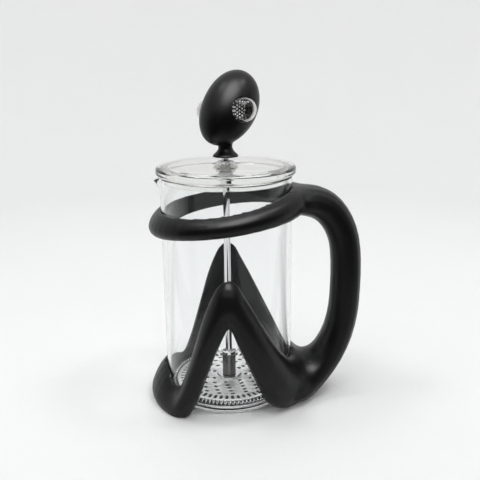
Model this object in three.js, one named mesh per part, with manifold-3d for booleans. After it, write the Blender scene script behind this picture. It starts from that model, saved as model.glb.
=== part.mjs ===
// French press: a moulded carrying frame, a glass beaker, a clear lid and a plunger with its filter.
// Millimetres, +Z up. The origin is at the middle of the footprint, on the surface it stands on.
import * as THREE from 'three';
import { mergeVertices } from 'three/addons/utils/BufferGeometryUtils.js';
import Module from 'manifold-3d';

const wasm = await Module();
wasm.setup();

// ---- clearances ----
const touchGap = 0.3; // between pieces that rest on or sit inside each other
const slideGap = 0.3; // round the plunger rod and in the lid's hole
const filterGap = 0.45; // between the edge spring and the glass

// ---- beaker ----
const beakerRadius = 48;
const beakerHeight = 169;
const beakerWall = 2.2;
const beakerBase = 4;
const beakerHeel = 7; // outer fillet between wall and base
const beakerStand = 3; // height of the glass above the table
const spoutReach = 7.4;
const spoutDrop = 5.2;
const spoutHalfAngle = 15; // degrees
const spoutLength = 24; // how far down the wall the spout fades out

// ---- frame ----
const ringBulge = 9.2; // how far the upper ring stands out from the glass
const baseBulge = 12; // the same for the base band
const bandUndercut = 3.4; // how far out the bands are rolled under
const handleReach = 52.6; // from the glass to the outside of the handle
const handleThick = 23;
const handleWidth = 27;
const ledgeWidth = 9; // lips under the heel of the glass
const ledgeThick = 2.7;
const ledgeRoot = 4; // how far the lips run into the bands
const ledgeHalfAngle = { spout: 50, handle: 38 };

// ---- lid ----
const lidOverhang = 2.6;
const lidThick = 6;
const lidDome = 2.5;
const lidEdge = 2; // rounding of the rim
const lidWall = 2.4;
const skirtDepth = 4.5;
const skirtWall = 2;
const skirtGap = 0.7;
const recessFillet = 1.8; // between the skirt and the lid's underside
const bossRadius = 7.4; // round the bush, under the lid
const bossRise = 0.2; // underside of the boss above that of the lid's rim
const bushWall = 1.25;
const bushFlangeOut = 1.6;
const bushFlangeThick = 1.2;
const bushLength = 17;
const clipWall = 1.5;
const clipThick = 3;

// ---- plunger ----
const rodRadius = 2.45;
const knobGap = 3.4; // under the knob when the plunger is fully down
const knobFootRadius = 9.4;
const knobNeckRadius = 4.9;
const knobNeckHeight = 12;
const eggLong = 29; // half length
const eggRound = 19.5; // half width
const eggLean = 37; // degrees from upright
const eggLeanDirection = 43; // degrees from the handle
const eggBend = 1.4;
const eggTaper = 0.05; // the upper end is blunter
const eggHeight = 33.8; // centre of the egg above the knob's foot
const eggOffset = [2.8, 3.1];
const lensRadius = 8.7;
const lensWall = 1.2;
const lensProud = 27.4; // top of the lens dome from the egg's centre
const lensSeat = 10; // back of the lens from the egg's centre
const lensSpread = 81; // each lens from the direction the egg faces
const lensDrop = { right: -0.2, left: 2.8 }; // below the egg's centre
const reflectorThick = 1.4;
const insertWall = 0.65;
const insertLength = 17;
const insertRise = 2; // above the knob's foot

// ---- filter ----
const plateThick = 0.8;
const meshThick = 0.6;
const meshReach = 0.6; // how far the screen runs past the middle of the edge spring
const springRadius = 2.1; // of the coil round the plate's edge
const springHeight = 4.9; // its middle above the beaker's floor
const plateHeight = 4.5; // underside above the beaker's floor
const plateHole = 1.5; // radius of the holes
const plateRings = [[0.365, 8], [0.56, 12], [0.755, 16]]; // share of the radius, number of holes
const crossInset = 5; // the cross plate is this much smaller
const crossHole = 0.2; // share of its radius
const crossRing = 0.62;
const washerRadius = 9.5;
const washerThick = 0.9;
const hubWall = 2.35;
const hubLength = 16.5;
const collarLength = 3;
const nutWall = 2.75; // at the corners
const nutClear = 0.6; // above the beaker's floor

// ---- worked out ----
const innerRadius = beakerRadius - beakerWall;
const rim = beakerStand + beakerHeight;
const floorOfGlass = beakerStand + beakerBase;
const boreRadius = beakerRadius + touchGap;
const clampHole = rodRadius + touchGap;
const bushBore = rodRadius + slideGap;
const bushRadius = bushBore + bushWall;
const bushFlange = bushRadius + bushFlangeOut;
const insertRadius = clampHole + insertWall;
const hubRadius = clampHole + hubWall;
const nutRadius = clampHole + nutWall;
const rad = THREE.MathUtils.degToRad;

// ---- geometry helpers ----
function weld(geometry) {
  geometry.deleteAttribute('normal');
  geometry.deleteAttribute('uv');
  const merged = mergeVertices(geometry, 1e-4);
  const source = merged.index.array;
  const kept = [];
  for (let i = 0; i < source.length; i += 3) {
    const [a, b, c] = [source[i], source[i + 1], source[i + 2]];
    if (a !== b && b !== c && c !== a) kept.push(a, b, c);
  }
  merged.setIndex(kept);
  return facingOut(merged);
}

function facingOut(geometry) {
  const p = geometry.attributes.position;
  const index = geometry.index.array;
  const [a, b, c] = [new THREE.Vector3(), new THREE.Vector3(), new THREE.Vector3()];
  let volume = 0;
  for (let i = 0; i < index.length; i += 3) {
    a.fromBufferAttribute(p, index[i]);
    b.fromBufferAttribute(p, index[i + 1]);
    c.fromBufferAttribute(p, index[i + 2]);
    volume += a.dot(b.cross(c));
  }
  if (volume < 0) {
    const turned = [];
    for (let i = 0; i < index.length; i += 3) turned.push(index[i], index[i + 2], index[i + 1]);
    geometry.setIndex(turned);
  }
  return geometry;
}

function toSolid(geometry) {
  const closed = weld(geometry);
  return new wasm.Manifold(
    new wasm.Mesh({
      numProp: 3,
      vertProperties: new Float32Array(closed.attributes.position.array),
      triVerts: new Uint32Array(closed.index.array),
    }),
  );
}

function toGeometry(solid) {
  const mesh = solid.getMesh();
  const geometry = new THREE.BufferGeometry();
  const positions = new Float32Array(mesh.vertProperties);
  geometry.setAttribute('position', new THREE.BufferAttribute(positions, 3));
  geometry.setIndex(Array.from(mesh.triVerts));
  return geometry;
}

// A closed outline of [radius, height] pairs turned about +Z.
function turned(outline, segments) {
  const points = outline.map(([r, z]) => new THREE.Vector2(r, z));
  points.push(points[0].clone());
  return new THREE.LatheGeometry(points, segments).rotateX(Math.PI / 2);
}

function tube(inner, outer, bottom, top, segments) {
  return turned([[inner, bottom], [outer, bottom], [outer, top], [inner, top]], segments);
}

function rod(radius, bottom, top, segments) {
  const length = top - bottom;
  const geometry = new THREE.CylinderGeometry(radius, radius, length, segments);
  return geometry.rotateX(Math.PI / 2).translate(0, 0, bottom + length / 2);
}

// Points on a quarter circle from angle a to b, in degrees, as [radius, height].
function arc(centreR, centreZ, radius, a, b, steps) {
  const points = [];
  for (let i = 0; i <= steps; i++) {
    const angle = rad(a + ((b - a) * i) / steps);
    points.push([centreR + radius * Math.cos(angle), centreZ + radius * Math.sin(angle)]);
  }
  return points;
}

// Joins rings of points into one skin. A closed loft is a loop; an open one has flat ends.
function loft(rings, closed) {
  const around = rings[0].length;
  const positions = rings.flat().flatMap((v) => [v.x, v.y, v.z]);
  const index = [];
  const spans = closed ? rings.length : rings.length - 1;
  for (let i = 0; i < spans; i++) {
    const next = (i + 1) % rings.length;
    for (let j = 0; j < around; j++) {
      const k = (j + 1) % around;
      const [a, b, c, d] = [i * around + j, i * around + k, next * around + k, next * around + j];
      index.push(a, b, c, a, c, d);
    }
  }
  if (!closed) {
    const last = (rings.length - 1) * around;
    for (let j = 1; j < around - 1; j++) {
      index.push(0, j + 1, j);
      index.push(last, last + j, last + j + 1);
    }
  }
  const geometry = new THREE.BufferGeometry();
  geometry.setAttribute('position', new THREE.Float32BufferAttribute(positions, 3));
  geometry.setIndex(index);
  return geometry;
}

// A superellipse runs fuller than an ellipse when its power is over 2.
function fuller(value, power) {
  return Math.sign(value) * Math.abs(value) ** (2 / power);
}

// ---- frame: bands that hug the glass ----
// A height on the frame, as a share of the beaker's.
function at(share) {
  return beakerStand + beakerHeight * share;
}

// Each station is [top angle, top height, bottom angle, bottom height, bulge, share of the height where it is
// widest, fullness over that]. Angles are in degrees from the handle. The back half mirrors the front.
function band(frontStations, samples) {
  const mirrored = ([ta, tz, ba, bz, ...rest]) => [-ta, tz, -ba, bz, ...rest];
  const back = frontStations.slice(1, -1).reverse().map(mirrored);
  const loop = [...frontStations, ...back];
  const wrap = ([ta, tz, ba, bz, ...rest], turn) => [ta + turn, tz, ba + turn, bz, ...rest];
  const all = [wrap(loop.at(-1), -360), ...loop, wrap(loop[0], 360), wrap(loop[1], 360)];
  const smooth = (...columns) => {
    const points = all.map((station) => new THREE.Vector3(...columns.map((c) => station[c])));
    return new THREE.CatmullRomCurve3(points, false, 'catmullrom');
  };
  const top = smooth(0, 1);
  const bottom = smooth(2, 3);
  const girth = smooth(4, 5, 6);
  const rings = [];
  for (let i = 0; i < samples; i++) {
    const t = (1 + (loop.length * i) / samples) / (all.length - 1);
    const [high, low, size] = [top.getPoint(t), bottom.getPoint(t), girth.getPoint(t)];
    rings.push(
      bandSection(size.x, size.y, size.z).map(([out, up]) => {
        const angle = rad(THREE.MathUtils.lerp(low.x, high.x, up));
        const height = THREE.MathUtils.lerp(low.y, high.y, up);
        const radius = boreRadius + out;
        return new THREE.Vector3(radius * Math.cos(angle), radius * Math.sin(angle), height);
      }),
    );
  }
  return loft(rings, true);
}

// One cut through a band, as [out from the bore, share of the way up]: rolled under at the bottom, widest
// at `widest`, then falling back to a clean edge on the glass at the top.
function bandSection(bulge, widest, fullness) {
  const rolled = bulge - bandUndercut;
  const rise = 1 / Math.sqrt(1 - (bandUndercut / rolled) ** 2);
  const section = [];
  for (const turn of [-2.2, -1.65, -1.1, -0.55]) {
    section.push([bandUndercut + rolled * Math.cos(turn), widest * (1 + rise * Math.sin(turn))]);
  }
  const steps = 5;
  for (let i = 0; i <= steps; i++) {
    const turn = (Math.PI / 2) * (i / steps);
    const out = bulge * Math.max(Math.cos(turn), 0) ** (2 / fullness);
    section.push([out, widest + (1 - widest) * Math.sin(turn) ** (2 / fullness)]);
  }
  section.push([-bandUndercut, 1]);
  return section;
}

function upperRing() {
  const stations = [
    [-180, rim - 25, -180, rim - 42, ringBulge, 0.3, 1.6],
    [-150, rim - 24.2, -150, rim - 40, ringBulge, 0.34, 1.6],
    [-120, rim - 22.6, -120, rim - 36.4, ringBulge, 0.38, 1.65],
    [-90, rim - 19.7, -90, rim - 32.8, ringBulge, 0.42, 1.7],
    [-60, rim - 15, -60, rim - 29.6, ringBulge + 0.4, 0.45, 1.8],
    [-35, rim - 10.8, -35, rim - 28.2, ringBulge + 1.5, 0.48, 1.9],
    [-15, rim - 8.6, -15, rim - 27.6, ringBulge + 3, 0.5, 2],
    [0, rim - 8, 0, rim - 27.4, ringBulge + 3.5, 0.5, 2],
  ];
  return band(stations, 60);
}

function baseBand() {
  const foot = -9; // under the table, so the feet are cut flat
  const stations = [
    [-180, at(0.145), -180, foot, baseBulge + 0.9, 0.38, 1.35],
    [-160, at(0.127), -160, foot + 1, baseBulge + 0.3, 0.38, 1.35],
    [-146, at(0.098), -142, foot + 2, baseBulge, 0.4, 1.45],
    [-137.5, at(0.105), -129, -2, baseBulge, 0.42, 1.5],
    [-131, at(0.154), -118, at(0.065), baseBulge, 0.45, 1.5],
    [-124.7, at(0.234), -109.5, at(0.178), baseBulge, 0.47, 1.5],
    [-118, at(0.337), -102.5, at(0.278), baseBulge, 0.47, 1.5],
    [-111, at(0.45), -97, at(0.349), baseBulge - 0.5, 0.46, 1.55],
    [-104, at(0.538), -93.2, at(0.396), baseBulge - 1, 0.44, 1.6],
    [-97.5, at(0.595), -91.2, at(0.417), baseBulge - 1.5, 0.42, 1.7],
    [-90, at(0.618), -89.6, at(0.423), baseBulge - 1.8, 0.4, 1.7],
    [-82.5, at(0.598), -88, at(0.417), baseBulge - 1.5, 0.42, 1.7],
    [-76.5, at(0.544), -86, at(0.391), baseBulge - 1, 0.44, 1.6],
    [-68.5, at(0.473), -81.5, at(0.328), baseBulge - 0.5, 0.46, 1.6],
    [-59, at(0.389), -76, at(0.26), baseBulge, 0.47, 1.6],
    [-48.5, at(0.308), -69.5, at(0.183), baseBulge, 0.47, 1.6],
    [-38, at(0.246), -62, at(0.095), baseBulge, 0.46, 1.6],
    [-27, at(0.198), -53, at(0.028), baseBulge + 0.5, 0.44, 1.6],
    [-14, at(0.18), -36, 0, baseBulge + 2, 0.42, 1.6],
    [0, at(0.189), 0, -4, baseBulge + 3, 0.4, 1.6],
  ];
  return band(stations, 96);
}

// The handle: a rounded bar swept through points [from the glass, height, half thickness, half width].
function handle() {
  const out = handleReach - handleThick / 2;
  const thick = handleThick / 2;
  const wide = handleWidth / 2;
  const stations = [
    [0.5, at(0.886), 9.6, 27],
    [9, at(0.882), 10.8, 24],
    [18, at(0.87), 11.8, 18.5],
    [26, at(0.841), 12, 15.5],
    [33.4, at(0.787), 11.7, wide + 0.5],
    [out - 2.4, at(0.71), thick, wide],
    [out - 0.2, at(0.609), thick, wide],
    [out, at(0.473), thick, wide],
    [out - 1.2, at(0.361), thick, wide + 0.5],
    [out - 5.6, at(0.249), thick, wide + 2],
    [out - 14, at(0.148), 12, wide + 5],
    [out - 25, at(0.077), 13.4, 24],
    [8, at(0.05), 14, 33],
    [1, at(0.047), 13.5, 37],
  ];
  const centres = stations.map(([off, height]) => new THREE.Vector3(boreRadius + off, 0, height));
  const halves = stations.map(([, , thin, broad]) => new THREE.Vector3(thin, broad, 0));
  const path = new THREE.CatmullRomCurve3(centres);
  const sizes = new THREE.CatmullRomCurve3(halves);
  const rings = [];
  const steps = 28;
  const around = 14;
  for (let i = 0; i <= steps; i++) {
    const t = i / steps;
    const centre = path.getPoint(t);
    const along = path.getTangent(t);
    const size = sizes.getPoint(t);
    const across = new THREE.Vector3(along.z, 0, -along.x);
    const ring = [];
    for (let j = 0; j < around; j++) {
      const turn = (2 * Math.PI * j) / around;
      const point = centre.clone().addScaledVector(across, size.x * fuller(Math.cos(turn), 2.3));
      point.y += size.y * fuller(Math.sin(turn), 2.1);
      ring.push(point);
    }
    rings.push(ring);
  }
  return loft(rings, false);
}

// Two lips under the heel of the glass, one round each foot.
function ledge(middle, halfAngle) {
  const shape = new THREE.Shape();
  const outer = boreRadius + ledgeRoot;
  shape.absarc(0, 0, outer, rad(middle - halfAngle), rad(middle + halfAngle), false);
  shape.absarc(0, 0, beakerRadius - ledgeWidth, rad(middle + halfAngle), rad(middle - halfAngle), true);
  return new THREE.ExtrudeGeometry(shape, { depth: ledgeThick, bevelEnabled: false, curveSegments: 16 });
}

function frameGeometry() {
  const boreTop = rim + 20;
  const belowTable = new THREE.BoxGeometry(400, 400, 60).translate(0, 0, -30);
  return toGeometry(
    toSolid(upperRing())
      .add(toSolid(handle()))
      .add(toSolid(baseBand()))
      .subtract(toSolid(rod(boreRadius, -20, boreTop, 64)))
      .add(toSolid(ledge(180, ledgeHalfAngle.spout)))
      .add(toSolid(ledge(0, ledgeHalfAngle.handle)))
      .subtract(toSolid(belowTable)),
  );
}

// ---- beaker ----
function beakerGeometry() {
  const bottom = beakerStand;
  const heelIn = Math.max(beakerHeel - beakerWall, 1);
  const lip = beakerWall / 2;
  const wallSteps = [0.15, 0.9];
  const wallTop = rim - lip;
  const spoutStart = rim - spoutLength;
  const wallStart = bottom + beakerHeel;
  const shares = [0, 0.2, 0.4, 0.6, 0.8];
  const plain = wallSteps.map((s) => wallStart + (spoutStart - wallStart) * s);
  const heights = [...plain, ...shares.map((s) => spoutStart + (wallTop - spoutStart) * s)];
  const outline = [
    [0, bottom],
    ...arc(beakerRadius - beakerHeel, bottom + beakerHeel, beakerHeel, -90, 0, 5),
    ...heights.map((z) => [beakerRadius, z]),
    ...arc(beakerRadius - lip, wallTop, lip, 0, 180, 4),
    ...heights.slice().reverse().map((z) => [innerRadius, z]),
    ...arc(innerRadius - heelIn, floorOfGlass + heelIn, heelIn, 0, -90, 4),
    [0, floorOfGlass],
  ];
  const geometry = turned(outline, 52);
  const p = geometry.attributes.position;
  for (let i = 0; i < p.count; i++) {
    const [x, y, z] = [p.getX(i), p.getY(i), p.getZ(i)];
    const rise = THREE.MathUtils.clamp((z - spoutStart) / spoutLength, 0, 1);
    const off = Math.abs(Math.atan2(y, -x)) / rad(spoutHalfAngle);
    if (rise === 0 || off >= 1) continue;
    const share = Math.cos((off * Math.PI) / 2) ** 2;
    const out = spoutReach * share * rise ** 2.2;
    const radius = Math.hypot(x, y);
    const grow = (radius + out) / radius;
    p.setXYZ(i, x * grow, y * grow, z - spoutDrop * share * rise ** 6);
  }
  return geometry;
}

// ---- lid ----
const lidUnder = rim + touchGap;
const lidRadius = beakerRadius + lidOverhang;
const lidTop = lidUnder + lidThick;
const lidMiddle = lidTop + lidDome;
const skirtOuter = innerRadius - skirtGap;
const lidHole = bushRadius + slideGap;
const bossBottom = lidUnder + bossRise;

function lidGeometry() {
  const skirtInner = skirtOuter - skirtWall;
  const crown = [0.7, 0.35].map((s) => {
    const r = lidHole + (lidRadius - lidEdge - lidHole) * s;
    return [r, lidTop + lidDome * (1 - s ** 2)];
  });
  const recessTop = lidTop - lidWall;
  const underside = lidDome * (1 - (bossRadius / lidRadius) ** 2);
  const outline = [
    [lidHole, bossBottom],
    [bossRadius, bossBottom],
    [bossRadius, recessTop + underside],
    [skirtInner * 0.6, recessTop + lidDome * 0.6],
    ...arc(skirtInner - recessFillet, recessTop - recessFillet, recessFillet, 90, 0, 3),
    [skirtInner, rim - skirtDepth],
    [skirtOuter, rim - skirtDepth],
    [skirtOuter, lidUnder],
    ...arc(lidRadius - lidEdge, lidUnder + lidEdge, lidEdge, -90, 0, 3),
    ...arc(lidRadius - lidEdge, lidTop - lidEdge, lidEdge, 0, 90, 3),
    ...crown,
    [lidHole, lidMiddle],
  ];
  return turned(outline, 52);
}

const bushTop = lidMiddle + touchGap + bushFlangeThick;
const bushBottom = bushTop - bushLength;
const clipRadius = bushRadius + touchGap + clipWall;
const clipTop = bossBottom - touchGap;

function bushGeometry() {
  const outline = [
    [bushBore, bushBottom],
    [bushRadius - 0.6, bushBottom],
    [bushRadius, bushBottom + 0.8],
    [bushRadius, bushTop - bushFlangeThick],
    [bushFlange, bushTop - bushFlangeThick],
    [bushFlange, bushTop - 0.4],
    [bushFlange - 0.4, bushTop],
    [bushBore, bushTop],
  ];
  return turned(outline, 24);
}

// ---- plunger ----
const knobFoot = bushTop + knobGap - bushFlangeThick;
const neckTop = knobFoot + knobNeckHeight;
const eggCentre = new THREE.Vector3(eggOffset[0], eggOffset[1], knobFoot + eggHeight);
const eggFacing = eggLeanDirection + 180;
const lenses = {
  right: { turn: eggFacing + lensSpread, drop: lensDrop.right },
  left: { turn: eggFacing - lensSpread, drop: lensDrop.left },
};
const filterFloor = floorOfGlass;
const plateBottom = filterFloor + plateHeight;
const plateTop = plateBottom + plateThick;
const washerBottom = plateTop + touchGap;
const washerTop = washerBottom + washerThick;
const hubBottom = washerTop + touchGap;
const hubTop = hubBottom + hubLength;
const collarBottom = hubTop + touchGap;
const collarTop = collarBottom + collarLength;
const springMiddle = innerRadius - filterGap - springRadius;
const plateRadius = springMiddle - springRadius - touchGap;
const meshTop = plateBottom - touchGap;
const meshBottom = meshTop - meshThick;
const crossTop = meshBottom - touchGap;
const crossBottom = crossTop - plateThick;
const nutTop = crossBottom - touchGap;
const nutBottom = filterFloor + nutClear;
const rodBottom = nutBottom;
const insertBottom = knobFoot + insertRise;
const insertTop = insertBottom + insertLength;
const rodTop = insertTop - touchGap;

function eggGeometry() {
  const geometry = new THREE.SphereGeometry(1, 28, 18).rotateX(Math.PI / 2);
  const p = geometry.attributes.position;
  for (let i = 0; i < p.count; i++) {
    const along = p.getZ(i);
    const bend = eggBend * (0.5 - along ** 2);
    const girth = eggRound * (1 + eggTaper * along);
    p.setXYZ(i, p.getX(i) * girth + bend, p.getY(i) * girth, along * eggLong);
  }
  geometry.rotateY(rad(eggLean)).rotateZ(rad(eggLeanDirection));
  return geometry.translate(eggCentre.x, eggCentre.y, eggCentre.z);
}

// Lays a geometry turned about +Z along a lens's level line out of the egg.
function outOfEgg(geometry, { turn, drop }) {
  geometry.rotateY(Math.PI / 2).rotateZ(rad(turn));
  return geometry.translate(eggCentre.x, eggCentre.y, eggCentre.z - drop);
}

const reflectorBack = lensSeat - touchGap - reflectorThick;
const socketBack = reflectorBack - touchGap;

function knobGeometry() {
  const neckOutline = [
    [0, knobFoot],
    [knobFootRadius - 0.5, knobFoot],
    [knobFootRadius, knobFoot + 0.6],
    [knobFootRadius - 0.6, knobFoot + 1.3],
    [knobNeckRadius + 1.9, knobFoot + 3.4],
    [knobNeckRadius + 0.5, knobFoot + 5.6],
    [knobNeckRadius, knobFoot + 8],
    [knobNeckRadius + 0.5, knobFoot + 10],
    [knobNeckRadius + 2, neckTop - 1],
    [knobNeckRadius + 2, neckTop + 3],
    [0, neckTop + 3],
  ];
  let solid = toSolid(eggGeometry()).add(toSolid(turned(neckOutline, 28)));
  for (const lens of Object.values(lenses)) {
    const socket = rod(lensRadius + touchGap, socketBack, lensProud + 10, 28);
    solid = solid.subtract(toSolid(outOfEgg(socket, lens)));
  }
  const insertHole = rod(insertRadius + touchGap, insertBottom - touchGap, insertTop + touchGap, 16);
  const rodHole = rod(clampHole, knobFoot - 1, insertBottom + 1, 16);
  return toGeometry(solid.subtract(toSolid(insertHole)).subtract(toSolid(rodHole)));
}

function lensGeometry(lens) {
  const domeBase = lensProud - lensRadius;
  const inside = lensRadius - lensWall;
  const outline = [
    [inside, lensSeat],
    [lensRadius, lensSeat],
    ...arc(0, domeBase, lensRadius, 0, 90, 6).slice(0, -1),
    [0, lensProud],
    [0, lensProud - lensWall],
    ...arc(0, domeBase, inside, 90, 0, 6).slice(1),
  ];
  return outOfEgg(turned(outline, 24), lens);
}

function reflectorGeometry(lens) {
  const outline = [
    [0, reflectorBack],
    [lensRadius - 0.5, reflectorBack],
    [lensRadius - 0.1, reflectorBack + 0.4],
    [lensRadius - 0.1, lensSeat - touchGap],
    [0, lensSeat - touchGap],
  ];
  return outOfEgg(turned(outline, 24), lens);
}

// A flat disc with a middle hole and rings of holes, given as [ring radius, hole radius, count].
function piercedDisc(outer, inner, bottom, thick, holeRings, holeSides) {
  const shape = new THREE.Shape();
  shape.absarc(0, 0, outer, 0, 2 * Math.PI, false);
  const middle = new THREE.Path();
  middle.absarc(0, 0, inner, 0, 2 * Math.PI, true);
  shape.holes.push(middle);
  for (const [ringRadius, holeRadius, count] of holeRings) {
    for (let i = 0; i < count; i++) {
      const turn = (2 * Math.PI * i) / count + ringRadius;
      const hole = new THREE.Path();
      for (let j = 0; j < holeSides; j++) {
        const angle = (-2 * Math.PI * j) / holeSides;
        const x = ringRadius * Math.cos(turn) + holeRadius * Math.cos(angle);
        const y = ringRadius * Math.sin(turn) + holeRadius * Math.sin(angle);
        if (j === 0) hole.moveTo(x, y);
        else hole.lineTo(x, y);
      }
      hole.closePath();
      shape.holes.push(hole);
    }
  }
  const options = { depth: thick, bevelEnabled: false, curveSegments: 32 };
  return new THREE.ExtrudeGeometry(shape, options).translate(0, 0, bottom);
}

function plateGeometry() {
  const rings = plateRings.map(([share, count]) => [share * plateRadius, plateHole, count]);
  return piercedDisc(plateRadius, clampHole, plateBottom, plateThick, rings, 6);
}

function crossPlateGeometry() {
  const radius = plateRadius - crossInset;
  const ring = [radius * crossRing, radius * crossHole, 6];
  return piercedDisc(radius, clampHole, crossBottom, plateThick, [ring], 8);
}

// The woven screen: flat under the plate, dropping under the edge spring.
function meshGeometry() {
  const drop = springHeight - springRadius - touchGap - meshThick - (meshBottom - filterFloor);
  const edge = springMiddle + meshReach;
  const outline = [
    [clampHole, meshBottom],
    [plateRadius - 3.6, meshBottom],
    [plateRadius - 0.4, meshBottom + drop],
    [edge, meshBottom + drop],
    [edge, meshTop + drop],
    [plateRadius - 0.2, meshTop + drop],
    [plateRadius - 3.3, meshTop],
    [clampHole, meshTop],
  ];
  return turned(outline, 44);
}

function springGeometry() {
  const ring = new THREE.TorusGeometry(springMiddle, springRadius, 6, 48);
  return ring.translate(0, 0, filterFloor + springHeight);
}

function hubGeometry() {
  return tube(clampHole, hubRadius, hubBottom, hubTop, 20);
}

function collarGeometry() {
  const outline = [
    [clampHole, collarBottom],
    [hubRadius, collarBottom],
    [hubRadius, collarBottom + 1.2],
    [hubRadius - 1.1, collarTop],
    [clampHole, collarTop],
  ];
  return turned(outline, 20);
}

function nutGeometry() {
  const hexagon = Array.from({ length: 6 }, (_, i) => {
    const angle = (Math.PI * i) / 3;
    return new THREE.Vector2(nutRadius * Math.cos(angle), nutRadius * Math.sin(angle));
  });
  const shape = new THREE.Shape(hexagon);
  const hole = new THREE.Path();
  hole.absarc(0, 0, clampHole, 0, 2 * Math.PI, true);
  shape.holes.push(hole);
  const options = { depth: nutTop - nutBottom, bevelEnabled: false, curveSegments: 10 };
  return new THREE.ExtrudeGeometry(shape, options).translate(0, 0, nutBottom);
}

function insertGeometry() {
  return tube(clampHole, insertRadius, insertBottom, insertTop, 16);
}

// ---- materials ----
const black = new THREE.MeshStandardMaterial({ color: 0x141415, roughness: 0.42, metalness: 0 });
const glass = new THREE.MeshStandardMaterial({ color: 0xeef3f2, roughness: 0.04, metalness: 0 });
const clear = new THREE.MeshStandardMaterial({ color: 0xe6e4de, roughness: 0.06, metalness: 0 });
const steel = new THREE.MeshStandardMaterial({ color: 0xc4c6c8, roughness: 0.18, metalness: 1 });
const brushed = new THREE.MeshStandardMaterial({ color: 0x77797c, roughness: 0.4, metalness: 1 });
const woven = new THREE.MeshStandardMaterial({ color: 0xa9abad, roughness: 0.5, metalness: 1 });
const brass = new THREE.MeshStandardMaterial({ color: 0xb08d4a, roughness: 0.35, metalness: 1 });

// ---- assembly ----
const model = new THREE.Group();

function part(name, geometry, material) {
  const mesh = new THREE.Mesh(weld(geometry), material);
  mesh.name = name;
  model.add(mesh);
}

part('frame', frameGeometry(), black);
part('beaker', beakerGeometry(), glass);
part('lid', lidGeometry(), clear);
part('lid_bush', bushGeometry(), steel);
part('lid_bush_clip', tube(bushRadius + touchGap, clipRadius, clipTop - clipThick, clipTop, 20), steel);
part('knob', knobGeometry(), black);
part('knob_insert', insertGeometry(), brass);
for (const [side, lens] of Object.entries(lenses)) {
  part(`knob_lens_${side}`, lensGeometry(lens), clear);
  part(`knob_reflector_${side}`, reflectorGeometry(lens), steel);
}
part('plunger_rod', rod(rodRadius, rodBottom, rodTop, 16), steel);
part('hub_collar', collarGeometry(), steel);
part('hub_sleeve', hubGeometry(), brushed);
part('hub_washer', tube(clampHole, washerRadius, washerBottom, washerTop, 28), steel);
part('spiral_plate', plateGeometry(), steel);
part('edge_spring', springGeometry(), steel);
part('filter_mesh', meshGeometry(), woven);
part('cross_plate', crossPlateGeometry(), steel);
part('rod_nut', nutGeometry(), steel);

// The beaker's axis is moved off the origin so that the whole footprint is centred on it.
const bounds = new THREE.Box3().setFromObject(model);
model.position.x = -(bounds.min.x + bounds.max.x) / 2;
model.position.y = -(bounds.min.y + bounds.max.y) / 2;

export default model;
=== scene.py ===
# French press: glass beaker in a moulded carrying frame, clear lid, egg knob and spring-edged filter.
# Metres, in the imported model's own frame: +Z up, the handle towards +X, the spout towards -X.
import math

import bpy
import bmesh
import numpy as np
from mathutils import Matrix, Vector


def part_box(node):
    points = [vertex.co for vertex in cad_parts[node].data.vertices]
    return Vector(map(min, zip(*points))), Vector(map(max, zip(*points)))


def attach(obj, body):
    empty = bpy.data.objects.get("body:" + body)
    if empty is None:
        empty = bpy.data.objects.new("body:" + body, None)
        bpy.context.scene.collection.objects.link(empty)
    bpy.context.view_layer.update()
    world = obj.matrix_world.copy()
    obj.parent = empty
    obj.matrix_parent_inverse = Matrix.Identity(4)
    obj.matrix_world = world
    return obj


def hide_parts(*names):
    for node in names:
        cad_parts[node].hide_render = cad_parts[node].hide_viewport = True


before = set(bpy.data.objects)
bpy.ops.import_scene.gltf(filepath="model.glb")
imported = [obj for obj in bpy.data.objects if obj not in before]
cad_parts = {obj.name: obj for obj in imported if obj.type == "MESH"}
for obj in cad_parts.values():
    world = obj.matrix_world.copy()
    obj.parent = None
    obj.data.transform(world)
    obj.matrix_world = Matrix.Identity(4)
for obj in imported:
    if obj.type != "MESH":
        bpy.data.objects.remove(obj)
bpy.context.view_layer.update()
mm = 0.001

rodLow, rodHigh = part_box("plunger_rod")
axis = Vector(((rodLow.x + rodHigh.x) / 2, (rodLow.y + rodHigh.y) / 2, 0))  # the beaker's upright axis
rodRadius = (rodHigh.x - rodLow.x) / 2
glassLow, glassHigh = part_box("beaker")
glassRadius = (glassHigh.y - glassLow.y) / 2
touchGap = 0.3 * mm
boreRadius = glassRadius + touchGap  # the frame's inner side
print("frame loaded")


# nodes for the finishes
def addNode(tree, kind, settings=None, **inputs):
    node = tree.nodes.new(kind)
    for key, value in (settings or {}).items():
        setattr(node, key, value)
    for key, value in inputs.items():
        node.inputs[key.replace("_", " ")].default_value = value
    return node


def newFinish(name, sockets):
    material = bpy.data.materials.new(name)
    material.use_nodes = True
    shader = material.node_tree.nodes["Principled BSDF"]
    for socket, value in sockets.items():
        shader.inputs[socket].default_value = value
    return material, material.node_tree, shader


def placedNoise(tree, scale, detail, stretch):
    # object coordinates, so the grain stays put on the piece
    where = addNode(tree, "ShaderNodeTexCoord")
    mapping = addNode(tree, "ShaderNodeMapping", Scale=stretch)
    noise = addNode(tree, "ShaderNodeTexNoise", Scale=scale, Detail=detail)
    tree.links.new(where.outputs["Object"], mapping.inputs["Vector"])
    tree.links.new(mapping.outputs["Vector"], noise.inputs["Vector"])
    return noise.outputs["Fac"]


def varyRoughness(tree, shader, fac, low, high):
    spread = addNode(tree, "ShaderNodeMapRange", To_Min=low, To_Max=high)
    tree.links.new(fac, spread.inputs["Value"])
    tree.links.new(spread.outputs["Result"], shader.inputs["Roughness"])


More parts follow.
